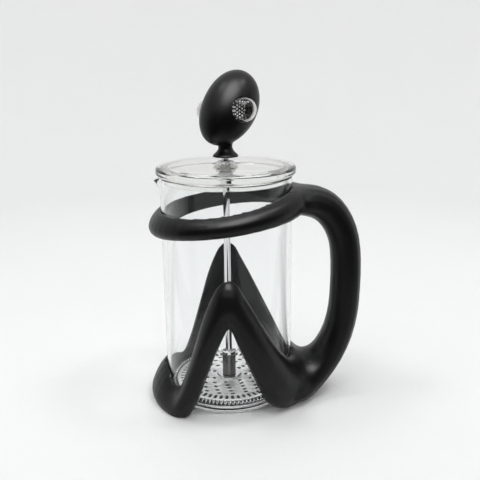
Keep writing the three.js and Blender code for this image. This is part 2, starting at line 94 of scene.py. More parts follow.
def varyColour(tree, shader, fac, darker, lighter):
    ramp = addNode(tree, "ShaderNodeValToRGB")
    ramp.color_ramp.elements[0].position = 0.35
    ramp.color_ramp.elements[0].color = (*darker, 1)
    ramp.color_ramp.elements[1].position = 0.65
    ramp.color_ramp.elements[1].color = (*lighter, 1)
    tree.links.new(fac, ramp.inputs["Fac"])
    tree.links.new(ramp.outputs["Color"], shader.inputs["Base Color"])


def addBump(tree, shader, height, strength, distance):
    bump = addNode(tree, "ShaderNodeBump", Strength=strength, Distance=distance)
    tree.links.new(height, bump.inputs["Height"])
    tree.links.new(bump.outputs["Normal"], shader.inputs["Normal"])


mouldedPlastic = {
    "darker": (0.0027, 0.0027, 0.0028),
    "lighter": (0.0044, 0.0044, 0.0045),
    "roughness": (0.3, 0.4),
    "gloss": 0.19,
    "grain": 700,
    "grainDepth": 0.05 * mm,
}


def makeMouldedPlastic(name, cloud):
    material, tree, shader = newFinish(name, {"IOR": 1.5, "Specular IOR Level": mouldedPlastic["gloss"]})
    patches = placedNoise(tree, cloud, 3, (1, 1, 1))
    varyColour(tree, shader, patches, mouldedPlastic["darker"], mouldedPlastic["lighter"])
    varyRoughness(tree, shader, patches, *mouldedPlastic["roughness"])
    grain = placedNoise(tree, mouldedPlastic["grain"], 2, (1, 1, 1))
    addBump(tree, shader, grain, 0.18, mouldedPlastic["grainDepth"])
    return material


clearPieces = {
    "beakerTint": (0.975, 0.985, 0.985, 1),
    "lidTint": (0.955, 0.95, 0.935, 1),
    "lensTint": (0.72, 0.72, 0.71, 1),
    "glassIor": 1.47,
    "plasticIor": 1.49,
    "lidIor": 1.4,
    "shadowTint": (0.93, 0.94, 0.94, 1),
    "sheen": (0.3, 0.3, 0.3, 1),  # strength of the mirror image in flat-on glass
}


def makeClear(name, tint, ior, low, high, ripple):
    # real refraction, with light passed straight on to what stands behind it
    material, tree, shader = newFinish(name, {
        "Base Color": tint,
        "IOR": ior,
        "Transmission Weight": 1.0,
        "Specular Tint": clearPieces["sheen"],
    })
    waves = placedNoise(tree, 60, 1, (1, 1, 0.4))
    varyRoughness(tree, shader, waves, low, high)
    addBump(tree, shader, waves, ripple, 0.2 * mm)
    lightPath = addNode(tree, "ShaderNodeLightPath")
    passing = addNode(tree, "ShaderNodeBsdfTransparent", Color=clearPieces["shadowTint"])
    mixed = addNode(tree, "ShaderNodeMixShader")
    out = tree.nodes["Material Output"]
    tree.links.new(lightPath.outputs["Is Shadow Ray"], mixed.inputs[0])
    tree.links.new(shader.outputs["BSDF"], mixed.inputs[1])
    tree.links.new(passing.outputs["BSDF"], mixed.inputs[2])
    tree.links.new(mixed.outputs["Shader"], out.inputs["Surface"])
    return material


metals = {  # colour, roughness from and to, stretch of the grain, depth of the grain
    "polished": ((0.74, 0.74, 0.75, 1), (0.07, 0.16), (1, 1, 1), 0.03),
    "brushed": ((0.12, 0.117, 0.112, 1), (0.22, 0.4), (1, 1, 0.05), 0.12),
    "wire": ((0.7, 0.7, 0.71, 1), (0.12, 0.22), (1, 1, 1), 0.05),
    "rolled": ((0.86, 0.86, 0.85, 1), (0.3, 0.42), (1, 1, 1), 0.04),
    # the next two are lit and shaded copies of one reflector foil: a painted glint for the dimples and
    # painted shade for the flat foil
    "paintedGlintDots": ((0.96, 0.96, 0.96, 1), (0.4, 0.55), (1, 1, 1), 0.02),
    "paintedShadeFlat": ((0.03, 0.03, 0.031, 1), (0.2, 0.35), (1, 1, 1), 0.03),
    "brass": ((0.72, 0.52, 0.24, 1), (0.2, 0.34), (1, 1, 0.2), 0.1),
}
metalGrain = 1500


def makeMetal(name, kind):
    colour, roughness, stretch, depth = metals[kind]
    material, tree, shader = newFinish(name, {"Base Color": colour, "Metallic": 1.0})
    grain = placedNoise(tree, metalGrain, 3, stretch)
    varyRoughness(tree, shader, grain, *roughness)
    addBump(tree, shader, grain, depth, 0.1 * mm)
    return material


wovenScreen = {"wiresPerMetre": 1500, "colour": (0.07, 0.07, 0.072)}


def makeWovenScreen():
    material, tree, shader = newFinish("wovenScreen", {"Metallic": 1.0})
    where = addNode(tree, "ShaderNodeTexCoord")
    strands = []
    for direction in ("X", "Y"):
        wave = addNode(tree, "ShaderNodeTexWave", {"bands_direction": direction, "wave_profile": "SIN"})
        wave.inputs["Scale"].default_value = wovenScreen["wiresPerMetre"] / 20
        tree.links.new(where.outputs["Object"], wave.inputs["Vector"])
        strands.append(wave.outputs["Fac"])
    higher = addNode(tree, "ShaderNodeMath", {"operation": "MAXIMUM"})
    tree.links.new(strands[0], higher.inputs[0])
    tree.links.new(strands[1], higher.inputs[1])
    colour = wovenScreen["colour"]
    varyColour(tree, shader, higher.outputs[0], tuple(0.2 * c for c in colour), colour)
    varyRoughness(tree, shader, higher.outputs[0], 0.5, 0.28)
    addBump(tree, shader, higher.outputs[0], 0.6, 0.2 * mm)
    return material


framePlastic = makeMouldedPlastic("framePlastic", 45)
knobPlastic = makeMouldedPlastic("knobPlastic", 70)
beakerGlass = makeClear("beakerGlass", clearPieces["beakerTint"], clearPieces["glassIor"], 0, 0.004, 0.002)
clearLid = makeClear("clearLid", clearPieces["lidTint"], clearPieces["lidIor"], 0.005, 0.02, 0.005)
clearLens = makeClear("clearLens", clearPieces["lensTint"], clearPieces["plasticIor"], 0, 0.01, 0)
polishedSteel = makeMetal("polishedSteel", "polished")
brushedSteel = makeMetal("brushedSteel", "brushed")
springWire = makeMetal("springWire", "wire")
turnedBrass = makeMetal("turnedBrass", "brass")
# painted glint foil for the reflector's dimples
paintedGlintFoil = makeMetal("paintedGlintFoil", "paintedGlintDots")
rolledSteel = makeMetal("rolledSteel", "rolled")
# painted shade foil for the reflector's flat front
paintedShadeFoil = makeMetal("paintedShadeFoil", "paintedShadeFlat")
wovenSteel = makeWovenScreen()
print("finishes ready")


# mesh tools
def newPiece(name, mesh, finish, smoothAngle=32):
    mesh.name = name
    mesh.materials.clear()
    mesh.materials.append(finish)
    mesh.shade_smooth()
    mesh.set_sharp_from_angle(angle=math.radians(smoothAngle))
    piece = bpy.data.objects.new(name, mesh)
    bpy.context.scene.collection.objects.link(piece)
    return piece


def standFor(piece, body, slotName, *nodes):
    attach(piece, body)
    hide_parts(*nodes)
    return piece


def meshFrom(points, faces):
    mesh = bpy.data.meshes.new("shape")
    mesh.from_pydata([tuple(p) for p in points], [], faces)
    work = bmesh.new()
    work.from_mesh(mesh)
    bmesh.ops.recalc_face_normals(work, faces=work.faces)
    work.to_mesh(mesh)
    work.free()
    return mesh


def turnedPoints(outline, segments):
    # a closed outline of (radius, height) turned about the upright axis
    points, rings, faces = [], [], []
    for radius, height in outline:
        if radius < 1e-7:
            rings.append([len(points)] * segments)
            points.append((axis.x, axis.y, height))
            continue
        rings.append(list(range(len(points), len(points) + segments)))
        for i in range(segments):
            turn = 2 * math.pi * i / segments
            points.append((axis.x + radius * math.cos(turn), axis.y + radius * math.sin(turn), height))
    for i, ring in enumerate(rings):
        following = rings[(i + 1) % len(rings)]
        for j in range(segments):
            k = (j + 1) % segments
            corners = [ring[j], ring[k], following[k], following[j]]
            face = [c for n, c in enumerate(corners) if c not in corners[:n]]
            if len(face) > 2:
                faces.append(face)
    return points, faces


def turned(outline, segments):
    return meshFrom(*turnedPoints(outline, segments))


def arc(centreR, centreZ, radius, start, end, steps):
    angles = np.radians(np.linspace(start, end, steps + 1))
    return [(centreR + radius * math.cos(a), centreZ + radius * math.sin(a)) for a in angles]


def roundedTube(inner, outer, bottom, top, ease, steps=4):
    # a collar with its four edges eased
    return [
        *arc(outer - ease, bottom + ease, ease, -90, 0, steps),
        *arc(outer - ease, top - ease, ease, 0, 90, steps),
        *arc(inner + ease, top - ease, ease, 90, 180, steps),
        *arc(inner + ease, bottom + ease, ease, 180, 270, steps),
    ]


def bakeModifiers(piece):
    bpy.context.view_layer.update()
    ready = piece.evaluated_get(bpy.context.evaluated_depsgraph_get())
    mesh = bpy.data.meshes.new_from_object(ready)
    piece.modifiers.clear()
    piece.data = mesh
    return mesh


def readPoints(mesh):
    flat = np.zeros(len(mesh.vertices) * 3)
    mesh.vertices.foreach_get("co", flat)
    return flat.reshape(-1, 3)


def writePoints(mesh, points):
    mesh.vertices.foreach_set("co", points.reshape(-1))
    mesh.update()


def readEdges(mesh):
    flat = np.zeros(len(mesh.edges) * 2, int)
    mesh.edges.foreach_get("vertices", flat)
    return flat.reshape(-1, 2)


def averageNeighbours(points, edges):
    total = np.zeros_like(points)
    count = np.bincount(edges.ravel(), minlength=len(points))
    for k in range(3):
        total[:, k] += np.bincount(edges[:, 0], weights=points[edges[:, 1], k], minlength=len(points))
        total[:, k] += np.bincount(edges[:, 1], weights=points[edges[:, 0], k], minlength=len(points))
    return total / np.maximum(count, 1)[:, None]


def relax(points, edges, rounds, hold=None):
    # smooths facets away without thinning the piece
    for _ in range(rounds):
        for share in (0.5, -0.52):
            points = points + share * (averageNeighbours(points, edges) - points)
            if hold:
                points = hold(points)
    return points


def fillCreases(mesh, points, edges, weight, rounds, hold):
    # lets hollows between two limbs fill up, and leaves round outsides alone
    for i in range(rounds):
        if i % 5 == 0:
            writePoints(mesh, points)
            normals = np.zeros(len(points) * 3)
            mesh.vertex_normals.foreach_get("vector", normals)
            normals = normals.reshape(-1, 3)
        pull = averageNeighbours(points, edges) - points
        outward = np.maximum((pull * normals).sum(1), 0)
        points = hold(points + normals * (outward * weight)[:, None])
    return points


def remeshed(source, voxel):
    work = bpy.data.objects.new("work", source)
    bpy.context.scene.collection.objects.link(work)
    modifier = work.modifiers.new("remesh", "REMESH")
    modifier.mode = "VOXEL"
    modifier.voxel_size = voxel
    modifier.adaptivity = 0
    mesh = bakeModifiers(work)
    bpy.data.objects.remove(work)
    return mesh


# carrying frame: ring, legs, feet and handle in one moulding
carryingFrame = {
    "fineness": 1.15 * mm,
    "smoothRounds": 22,
    "blendRounds": 420,
    "blends": [  # middle, reach and strength of each soft shoulder, measured from the axis
        ((56 * mm, 0, 148 * mm), 50 * mm, 1),
        ((60 * mm, 0, 18 * mm), 42 * mm, 0.4),
    ],
    "ledgeTop": 2.7 * mm,
    "ledgeIn": 1.5 * mm,  # how far inside the bore a point counts as on the lips
    "boreSkin": 0.55 * mm,
    "tableSkin": 0.5 * mm,
    "boreFoot": 0.4 * mm,  # the bore is held round from here above the lips
    "boreHold": 0.1 * mm,
    "finalRounds": 4,
}


def makeCarryingFrame():
    mesh = remeshed(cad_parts["frame"].data.copy(), carryingFrame["fineness"])
    points = readPoints(mesh)
    edges = readEdges(mesh)
    low, high = (np.array(corner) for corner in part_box("frame"))
    fromAxis = np.hypot(points[:, 0] - axis.x, points[:, 1] - axis.y)
    ledgeTop = carryingFrame["ledgeTop"]
    onBore = fromAxis < boreRadius + carryingFrame["boreSkin"]
    onBore &= points[:, 2] > ledgeTop + carryingFrame["boreFoot"]
    onTable = points[:, 2] < carryingFrame["tableSkin"]
    onLedge = fromAxis < boreRadius - carryingFrame["ledgeIn"]
    onLedge &= points[:, 2] > ledgeTop - carryingFrame["tableSkin"]

    def hold(moved):
        x, y = moved[:, 0] - axis.x, moved[:, 1] - axis.y
        reach = np.hypot(x, y)
        inside = (reach < boreRadius) & (moved[:, 2] > ledgeTop + carryingFrame["boreHold"])
        scale = np.where(onBore | inside, boreRadius / np.maximum(reach, 1e-9), 1)
        moved[:, 0] = axis.x + x * scale
        moved[:, 1] = axis.y + y * scale
        moved[onTable, 2] = 0
        moved[onLedge, 2] = ledgeTop
        return np.clip(moved, low, high)

    points = relax(points, edges, carryingFrame["smoothRounds"], hold)
    weight = np.zeros(len(points))
    for middle, reach, strength in carryingFrame["blends"]:
        away = np.linalg.norm(points - np.array(axis) - np.array(middle), axis=1)
        weight = np.maximum(weight, strength * np.clip(2 * (1 - away / reach), 0, 1))
    weight[onBore] = 0
    points = fillCreases(mesh, points, edges, weight, carryingFrame["blendRounds"], hold)
    points = relax(points, edges, carryingFrame["finalRounds"], hold)
    writePoints(mesh, points)
    piece = newPiece("carryingFrame", mesh, framePlastic, 42)
    return standFor(piece, "frame", "frame_plastic", "frame")


makeCarryingFrame()
print("carrying frame moulded")


# beaker: blown glass with a heel, a fire-polished rim and a drawn-out spout
glassBeaker = {
    "wall": 2.2 * mm,
    "base": 4 * mm,
    "heel": 7 * mm,
    "spoutReach": 7.4 * mm,
    "spoutDrop": 5.2 * mm,
    "spoutHalfAngle": 15,
    "spoutLength": 16 * mm,
    "segments": 200,
}


def makeGlassBeaker():
    b = glassBeaker
    bottom = glassLow.z
    rim = glassHigh.z
    floorTop = bottom + b["base"]
    inner = glassRadius - b["wall"]
    heelInside = b["heel"] - b["wall"]
    lip = b["wall"] / 2
    spoutStart = rim - b["spoutLength"]
    wall = np.concatenate([
        np.linspace(bottom + b["heel"] + 6 * mm, spoutStart, 8),
        np.linspace(spoutStart, rim - lip, 17)[1:-1],
    ])
    outline = [
        (0, bottom),
        (glassRadius * 0.5, bottom),
        *arc(glassRadius - b["heel"], bottom + b["heel"], b["heel"], -90, 0, 14),
        *[(glassRadius, z) for z in wall],
        *arc(glassRadius - lip, rim - lip, lip, 0, 180, 12),
        *[(inner, z) for z in wall[::-1]],
        *arc(inner - heelInside, floorTop + heelInside, heelInside, 0, -90, 12),
        (inner * 0.5, floorTop),
        (0, floorTop),
    ]
    points, faces = turnedPoints(outline, b["segments"])
    shaped = []
    for x, y, z in points:
        fromX, fromY = x - axis.x, y - axis.y
        off = abs(math.atan2(fromY, -fromX)) / math.radians(b["spoutHalfAngle"])
        rise = min(max((z - spoutStart) / b["spoutLength"], 0), 1)
        if rise > 0 and off < 1:
            share = math.cos(off * math.pi / 2) ** 2
            radius = math.hypot(fromX, fromY)
            grow = (radius + b["spoutReach"] * share * rise**2.2) / radius
            x, y = axis.x + fromX * grow, axis.y + fromY * grow
            z -= b["spoutDrop"] * share * rise**6
        shaped.append((x, y, z))
    piece = newPiece("glassBeaker", meshFrom(shaped, faces), beakerGlass, 50)
    return standFor(piece, "beaker", "beaker_glass", "beaker")


makeGlassBeaker()
print("beaker blown")


# lid: a shallow clear dome with a skirt that drops inside the beaker
lidLow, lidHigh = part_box("lid")
lidShape = {
    "thick": 6 * mm,
    "dome": 2.5 * mm,
    "edge": 2 * mm,
    "wall": 2.4 * mm,
    "skirtWall": 2 * mm,
    "skirtGap": 0.7 * mm,
    "hole": 4.3 * mm,
    "bossRadius": 7.4 * mm,
    "fillet": 1.8 * mm,
    "foot": 0.6 * mm,  # rounding of the skirt's lower edge
    "holeEase": 0.3 * mm,
    "bossEase": 0.5 * mm,
    "bossRoot": 1 * mm,
    "seatEase": 0.4 * mm,  # where the skirt meets the rim's underside
    "segments": 200,
}


def makeLid():
    s = lidShape
    radius = (lidHigh.y - lidLow.y) / 2
    top = lidHigh.z - s["dome"]
    under = top - s["thick"]
    recess = top - s["wall"]
    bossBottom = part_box("lid_bush_clip")[1].z + touchGap
    skirtOuter = glassRadius - glassBeaker["wall"] - s["skirtGap"]
    skirtInner = skirtOuter - s["skirtWall"]
    fillet, foot, hole, boss = s["fillet"], s["foot"], s["hole"], s["bossRadius"]
    holeEase, bossEase, root, seat = s["holeEase"], s["bossEase"], s["bossRoot"], s["seatEase"]
    crownEdge = radius - s["edge"]

    def rise(r):
        return s["dome"] * (1 - (r / crownEdge) ** 2)

    inside = [(r, recess + rise(r)) for r in np.linspace(boss + root, skirtInner - fillet, 12)]
    crown = [(r, top + rise(r)) for r in np.linspace(crownEdge, hole + holeEase, 14)[1:]]
    step = rise(skirtInner - fillet)
    outline = [
        (hole, bossBottom + holeEase),
        (hole + holeEase, bossBottom),
        *arc(boss - bossEase, bossBottom + bossEase, bossEase, -90, 0, 4),
        *arc(boss + root, recess + rise(boss) - root, root, 180, 100, 4),
        *inside[1:-1],
        *arc(skirtInner - fillet, recess + step - fillet, fillet, 90, 0, 8),
        *arc(skirtInner + foot, lidLow.z + foot, foot, 180, 270, 4),
        *arc(skirtOuter - foot, lidLow.z + foot, foot, -90, 0, 4),
        (skirtOuter, under - seat),
        (skirtOuter + seat, under),
        *arc(crownEdge, under + s["edge"], s["edge"], -90, 0, 8),
        *arc(crownEdge, top - s["edge"], s["edge"], 0, 90, 8),
        *crown,
        (hole, lidHigh.z - holeEase),
    ]
    piece = newPiece("pressLid", turned(outline, s["segments"]), clearLid, 40)
    return standFor(piece, "lid", "clear_lid", "lid")


makeLid()

lidFittings = {"ease": 0.35 * mm, "flange": 1.2 * mm, "segments": 64}


def makeLidFittings():
    low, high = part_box("lid_bush")
    bore = rodRadius + touchGap
    flangeRadius = (high.x - low.x) / 2
    body = lidShape["hole"] - touchGap
    ease = lidFittings["ease"]
    flangeUnder = high.z - lidFittings["flange"]
    outline = [
        (bore + ease, low.z),
        *arc(body - ease, low.z + ease, ease, -90, 0, 4),
        (body, flangeUnder),
        *arc(flangeRadius - ease, flangeUnder + ease, ease, -90, 0, 4),
        *arc(flangeRadius - ease, high.z - ease, ease, 0, 90, 4),
        *arc(bore + ease, high.z - ease, ease, 90, 180, 4),
        (bore, low.z + ease),
    ]
    bush = newPiece("lidBush", turned(outline, lidFittings["segments"]), polishedSteel)
    standFor(bush, "bush", "polished_steel", "lid_bush")
    low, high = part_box("lid_bush_clip")
    clipRadius = (high.x - low.x) / 2
    outline = roundedTube(body + touchGap, clipRadius, low.z, high.z, ease)
    clip = newPiece("bushClip", turned(outline, lidFittings["segments"]), polishedSteel)
    standFor(clip, "bush", "polished_steel", "lid_bush_clip")


makeLidFittings()
print("lid and its bush fitted")


# knob: an egg leaning over a short flared neck, with a clear lens in each side
knobLow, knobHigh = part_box("knob")
eggKnob = {
    "centre": (2.8 * mm, 3.1 * mm, 33.8 * mm),  # from the axis and the knob's foot
    "long": 29 * mm,
    "round": 19.5 * mm,
    "lean": 37,
    "leanDirection": 43,
    "bend": 1.4 * mm,
    "taper": 0.05,
    "footRadius": 9.4 * mm,
    "neckRadius": 4.9 * mm,
    "neckHeight": 12 * mm,
    "neckFlare": {"out": 4.5 * mm, "power": 1.35, "foot": 1.2 * mm, "rise": 7 * mm},
    "neckTop": [(0, 8.4), (0.5, 10.2), (1.9, 12), (2.4, 15)],  # millimetres out, and up from the foot
    "footEase": 0.4 * mm,
    "smoothRounds": 6,
    "finalRounds": 3,
    "blendReach": 11 * mm,
    "blendRounds": 40,
    "fineness": 0.55 * mm,
    "lensRadius": 8.7 * mm,
    "lensProud": 27.4 * mm,
    "lensSeat": 10 * mm,
    "lensSpread": 81,
    "lensDrop": {"right": -0.2 * mm, "left": 2.8 * mm},
    "socketBack": 8 * mm,
}
eggCentre = axis + Vector(eggKnob["centre"]) + Vector((0, 0, knobLow.z))


def outOfEgg(side):
    # lays a shape turned about +Z along that lens's level line out of the egg
    sign = 1 if side == "right" else -1
    turn = math.radians(eggKnob["leanDirection"] + 180 + sign * eggKnob["lensSpread"])
    start = eggCentre - Vector((0, 0, eggKnob["lensDrop"][side]))
    return Matrix.Translation(start) @ Matrix.Rotation(turn, 4, "Z") @ Matrix.Rotation(math.pi / 2, 4, "Y")


def turnedOutOfEgg(outline, segments, side):
    points, faces = turnedPoints(outline, segments)
    place = outOfEgg(side)
    return meshFrom([place @ (Vector(p) - axis) for p in points], faces)


def eggPoints(stepsAlong, stepsRound):
    k = eggKnob
    lean = Matrix.Rotation(math.radians(k["leanDirection"]), 3, "Z")
    lean = lean @ Matrix.Rotation(math.radians(k["lean"]), 3, "Y")
    points, faces = [], []
    for i in range(stepsAlong + 1):
        turn = math.pi * i / stepsAlong
        along = math.cos(turn)
        for j in range(stepsRound):
            spin = 2 * math.pi * j / stepsRound
            girth = k["round"] * (1 + k["taper"] * along) * max(math.sin(turn), 1e-4)
            flat = Vector((girth * math.cos(spin) + k["bend"] * (0.5 - along**2), girth * math.sin(spin), 0))
            points.append(eggCentre + lean @ (flat + Vector((0, 0, along * k["long"]))))
    for i in range(stepsAlong):
        for j in range(stepsRound):
            n = (j + 1) % stepsRound
            row, after = i * stepsRound, (i + 1) * stepsRound
            faces.append((row + j, row + n, after + n, after + j))
    faces.append(tuple(range(stepsRound)))
    faces.append(tuple(range(stepsAlong * stepsRound, (stepsAlong + 1) * stepsRound)))
    return points, faces


def joinMeshes(*meshes):
    work = bmesh.new()
    for mesh in meshes:
        work.from_mesh(mesh)
    joined = bpy.data.meshes.new("joined")
    work.to_mesh(joined)
    work.free()
    return joined


def cutAway(mesh, cutters):
    work = bpy.data.objects.new("work", mesh)
    bpy.context.scene.collection.objects.link(work)
    tools = []
    for cutter in cutters:
        tool = bpy.data.objects.new("tool", cutter)
        bpy.context.scene.collection.objects.link(tool)
        cut = work.modifiers.new("cut", "BOOLEAN")
        cut.operation = "DIFFERENCE"
        cut.solver = "EXACT"
        cut.object = tool
        tools.append(tool)
    result = bakeModifiers(work)
    for extra in tools + [work]:
        bpy.data.objects.remove(extra)
    return result


def makeKnob():
    k = eggKnob
    foot, footEase = knobLow.z, k["footEase"]
    flare, neckRadius = k["neckFlare"], k["neckRadius"]
    neckOutline = [(0, foot), *arc(k["footRadius"] - footEase, foot + footEase, footEase, -90, 30, 4)]
    for a in range(8, 90, 9):
        out = flare["out"] * (1 - math.sin(math.radians(a))) ** flare["power"]
        neckOutline.append((neckRadius + out, foot + flare["foot"] + flare["rise"] * (a / 90)))
    neckOutline += [(neckRadius + out * mm, foot + up * mm) for out, up in k["neckTop"]]
    neckOutline.append((0, neckOutline[-1][1]))
    rough = joinMeshes(meshFrom(*eggPoints(72, 96)), turned(neckOutline, 96))
    mesh = remeshed(rough, k["fineness"])
    points = readPoints(mesh)
    edges = readEdges(mesh)
    low, high = np.array(knobLow), np.array(knobHigh)

    def hold(moved):
        return np.clip(moved, low, high)

    points = relax(points, edges, k["smoothRounds"], hold)
    neckTop = np.array(axis) + np.array((0, 0, foot + k["neckHeight"]))
    away = np.linalg.norm(points - neckTop, axis=1)
    weight = np.clip(2 * (1 - away / k["blendReach"]), 0, 1)
    points = fillCreases(mesh, points, edges, weight, k["blendRounds"], hold)
    points = relax(points, edges, k["finalRounds"], hold)
    writePoints(mesh, points)
    socketRadius = k["lensRadius"] + touchGap
    cutters = []
    for side in ("right", "left"):
        socket = [(0, k["socketBack"]), (socketRadius, k["socketBack"]), (socketRadius, 0.04), (0, 0.04)]
        cutters.append(turnedOutOfEgg(socket, 96, side))
    insertLow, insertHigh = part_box("knob_insert")
    insertRadius = (insertHigh.x - insertLow.x) / 2 + touchGap
    hole = [(0, insertLow.z - touchGap), (insertRadius, insertLow.z - touchGap)]
    hole += [(insertRadius, insertHigh.z + touchGap), (0, insertHigh.z + touchGap)]
    cutters.append(turned(hole, 32))
    rodHole = rodRadius + touchGap
    hole = [(0, foot - 1 * mm), (rodHole, foot - 1 * mm), (rodHole, insertLow.z), (0, insertLow.z)]
    cutters.append(turned(hole, 32))
    piece = newPiece("eggKnob", cutAway(mesh, cutters), knobPlastic, 40)
    return standFor(piece, "plunger", "knob_plastic", "knob")


makeKnob()

lensLook = {
    "segments": 96,
    "wall": 1.2 * mm,
    "ease": 0.4 * mm,
    "dimplePitch": 2.6 * mm,
    "dimpleReach": 0.3,  # share of the pitch
    "dimpleDepth": 0.3 * mm,
    "rowStep": 0.87,  # rows are closer than columns, as they are staggered
    "plainRim": 0.5 * mm,
    "reflectorThick": 1.4 * mm,
    "reflectorGap": 0.1 * mm,
    "reflectorRings": 44,
    "reflectorSegments": 150,
    "skin": 0.01 * mm,  # how near the front a point counts as on it
}


def makeLens(side):
    k = eggKnob
    radius = k["lensRadius"]
    ease = lensLook["ease"]
    inside = radius - lensLook["wall"]
    middle = k["lensProud"] - radius
    outline = [
        (inside, k["lensSeat"]),
        (radius - ease, k["lensSeat"]),
        (radius, k["lensSeat"] + ease),
        *arc(0, middle, radius, 0, 90, 24)[:-1],
        (0, middle + radius),
        (0, middle + inside),
        *arc(0, middle, inside, 90, 0, 24)[1:],
    ]
    lens = newPiece(f"{side}Lens", turnedOutOfEgg(outline, lensLook["segments"], side), clearLens, 40)
    standFor(lens, "plunger", "clear_lens", f"knob_lens_{side}")


def makeReflector(side):
    # a disc with staggered rows of round dimples over its front; the dimple faces carry a painted glint and
    # the flat foil between them painted shade
    k = eggKnob
    front = k["lensSeat"] - touchGap
    back = front - lensLook["reflectorThick"]
    radius = k["lensRadius"] - lensLook["reflectorGap"]
    count = lensLook["reflectorRings"]
    rings = [radius * n / count for n in range(count, 0, -1)]
    ease = lensLook["ease"]
    outline = [(0, back), (radius - ease, back), (radius, back + ease)]
    outline += [(r, front) for r in rings] + [(0, front)]
    points, faces = turnedPoints(outline, lensLook["reflectorSegments"])
    pitch, rowStep = lensLook["dimplePitch"], lensLook["rowStep"]
    reach = lensLook["dimpleReach"] * pitch
    surface = front - lensLook["skin"]

    def fromDimple(x, y):
        row = round(y / (pitch * rowStep))
        shift = 0.5 * pitch * (row % 2)
        column = round((x - shift) / pitch)
        return math.hypot(x - shift - column * pitch, y - row * pitch * rowStep)

    flat = [Vector(p) - axis for p in points]
    shaped = []
    for p in flat:
        low = p.copy()
        if p.z > surface and math.hypot(p.x, p.y) < radius - lensLook["plainRim"]:
            low.z -= lensLook["dimpleDepth"] * max(0, 1 - (fromDimple(p.x, p.y) / reach) ** 2)
        shaped.append(outOfEgg(side) @ low)
    # the flat foil gets painted shade and the dimple faces (material 1) a painted glint
    disc = newPiece(f"{side}Reflector", meshFrom(shaped, faces), paintedShadeFoil, 60)
    disc.data.materials.append(paintedGlintFoil)
    for face in disc.data.polygons:
        middle = sum((flat[v] for v in face.vertices), Vector()) / len(face.vertices)
        dimple = middle.z > surface and fromDimple(middle.x, middle.y) < reach
        face.material_index = 1 if dimple else 0
    standFor(disc, "plunger", "reflector", f"knob_reflector_{side}")


for lensSide in ("right", "left"):
    makeLens(lensSide)
    makeReflector(lensSide)
print("knob and lenses made")


# plunger: rod, hub and the threaded parts
plungerParts = {
    "ease": 0.35 * mm,
    "segments": 64,
    "rodEase": 0.5 * mm,
    "collarChamfer": 1.3 * mm,
    "collarFoot": 0.2 * mm,
    "collarBore": 0.3 * mm,
    "nutCorner": 0.5 * mm,
    "nutEdge": 0.3 * mm,
}


def makeRod():
    ease = plungerParts["rodEase"]
    low, high = rodLow.z, rodHigh.z
    outline = [(0, low), (rodRadius - ease, low), (rodRadius, low + ease)]
    outline += [(rodRadius, z) for z in np.linspace(low + 10 * mm, high - 20 * mm, 6)]
    outline += [(rodRadius, high - ease), (rodRadius - ease, high), (0, high)]
    piece = newPiece("plungerRod", turned(outline, plungerParts["segments"]), polishedSteel)
    standFor(piece, "plunger", "polished_steel", "plunger_rod")


def makeCollarsAndSleeve():
    bore = rodRadius + touchGap
    ease = plungerParts["ease"]
    names = {
        "hub_sleeve": ("hubSleeve", brushedSteel, "brushed_sleeve"),
        "hub_washer": ("hubWasher", polishedSteel, "polished_steel"),
    }
    for node, (name, finish, slotName) in names.items():
        low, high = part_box(node)
        outline = roundedTube(bore, (high.x - low.x) / 2, low.z, high.z, ease)
        piece = newPiece(name, turned(outline, plungerParts["segments"]), finish)
        standFor(piece, "plunger", slotName, node)
    low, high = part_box("hub_collar")
    radius = (high.x - low.x) / 2
    chamfer, footEase = plungerParts["collarChamfer"], plungerParts["collarFoot"]
    boreEase = plungerParts["collarBore"]
    outline = [
        (bore, low.z),
        (radius - footEase, low.z),
        (radius, low.z + footEase),
        (radius, high.z - chamfer),
        *arc(radius - chamfer, high.z - chamfer, chamfer, 15, 80, 4),
        (bore + boreEase, high.z),
        (bore, high.z - boreEase),
    ]
    piece = newPiece("hubCollar", turned(outline, plungerParts["segments"]), polishedSteel)
    standFor(piece, "plunger", "polished_steel", "hub_collar")


def makeNut():
    low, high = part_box("rod_nut")
    corner = (high.x - low.x) / 2
    bore = rodRadius + touchGap
    work = bmesh.new()
    outer = [Vector((corner * math.cos(a), corner * math.sin(a), 0)) for a in np.radians(range(0, 360, 10))]
    flat = corner * math.cos(math.radians(30))
    cornerEase, edge = plungerParts["nutCorner"], plungerParts["nutEdge"]
    rings = []
    for z, ease in ((low.z, cornerEase), (low.z + edge, 0), (high.z - edge, 0), (high.z, cornerEase)):
        ring = []
        for v in outer:
            turn = math.atan2(v.y, v.x)
            reach = flat / math.cos(((turn % (math.pi / 3)) - math.pi / 6))
            reach = min(reach, corner - ease)
            ring.append(work.verts.new((axis.x + reach * math.cos(turn), axis.y + reach * math.sin(turn), z)))
        rings.append(ring)
    for z in (high.z, low.z):
        ring = []
        for v in outer:
            turn = math.atan2(v.y, v.x)
            ring.append(work.verts.new((axis.x + bore * math.cos(turn), axis.y + bore * math.sin(turn), z)))
        rings.append(ring)
    for i, ring in enumerate(rings):
        following = rings[(i + 1) % len(rings)]
        for j in range(len(ring)):
            k = (j + 1) % len(ring)
            work.faces.new((ring[j], ring[k], following[k], following[j]))
    bmesh.ops.recalc_face_normals(work, faces=work.faces)
    mesh = bpy.data.meshes.new("nut")
    work.to_mesh(mesh)
    work.free()
    piece = newPiece("rodNut", mesh, polishedSteel, 25)
    standFor(piece, "plunger", "polished_steel", "rod_nut")


makeRod()
makeCollarsAndSleeve()
makeNut()


